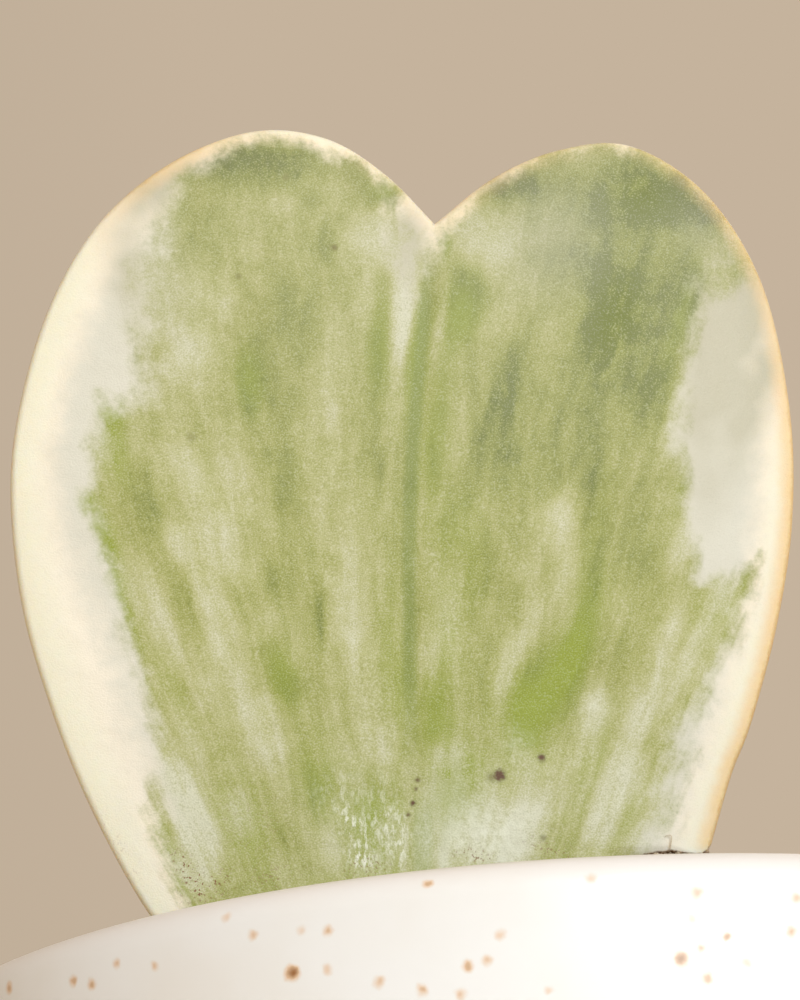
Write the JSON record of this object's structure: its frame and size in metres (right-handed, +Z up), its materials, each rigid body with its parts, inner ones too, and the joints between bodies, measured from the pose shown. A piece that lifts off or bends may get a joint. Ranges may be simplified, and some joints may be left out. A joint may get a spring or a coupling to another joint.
{
  "type": "potted hoya plant",
  "caption": "Heart-shaped variegated hoya leaf rooted in potting soil in a white speckled glazed ceramic pot.",
  "frame": {"origin": "on the pot's axis, in the plane that the foot ring stands on", "axes": "+Z up along the pot's axis, the leaf's broad face towards -Y, +X to the right seen from the front"},
  "size_m": [0.1136, 0.1136, 0.1826],
  "materials": {
    "speckled_glaze": "warm white satin glaze with rust-brown iron speckles",
    "potting_soil": "crumbly peat and bark mix, matte",
    "hoya_leaf": "waxy succulent leaf, green streaks in a cream margin"
  },
  "bodies": {
    "root": {"pot": "speckled_glaze", "soil": "potting_soil", "leaf": "hoya_leaf"}
  },
  "joints": []
}
